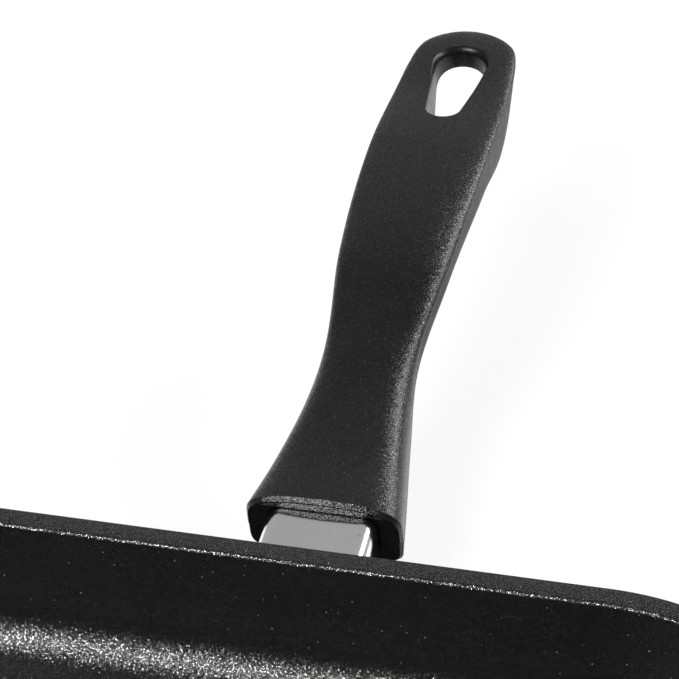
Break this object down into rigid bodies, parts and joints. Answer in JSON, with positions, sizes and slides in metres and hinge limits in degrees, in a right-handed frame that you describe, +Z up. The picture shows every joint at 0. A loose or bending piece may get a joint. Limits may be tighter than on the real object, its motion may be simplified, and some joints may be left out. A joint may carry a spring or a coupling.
{
  "type": "square griddle pan",
  "caption": "Square non-stick griddle pan with a ribbed floor, rounded corners, a flat rim and a curved phenolic handle with a hanging hole, joined through a steel flame guard.",
  "frame": {"origin": "centre of the base, on the plane the pan rests on", "axes": "+Y from the pan's centre along the handle, +Z up out of the open pan, +X to the right seen from above with the handle pointing away"},
  "size_m": [0.28, 0.4836, 0.0647],
  "materials": {
    "nonstick_coating": "pressed aluminium under a black non-stick coating, satin, with fine pale flecks",
    "plate_steel": "magnetic stainless sheet, concentric brushed grain",
    "bare_aluminium": "bare cast aluminium, matt",
    "satin_steel": "stainless sheet, satin polish with a fine grain along the handle",
    "zinc_steel": "zinc-plated steel",
    "phenolic": "black moulded phenolic resin, matt, with a fine sparkling grain"
  },
  "bodies": {
    "root": {"pan_body": "nonstick_coating", "base_plate": "plate_steel", "handle_stud": "bare_aluminium", "flame_guard": "satin_steel", "handle_screw": "zinc_steel", "flat_washer": "zinc_steel", "spring_washer": "zinc_steel", "handle": "phenolic"}
  },
  "joints": []
}
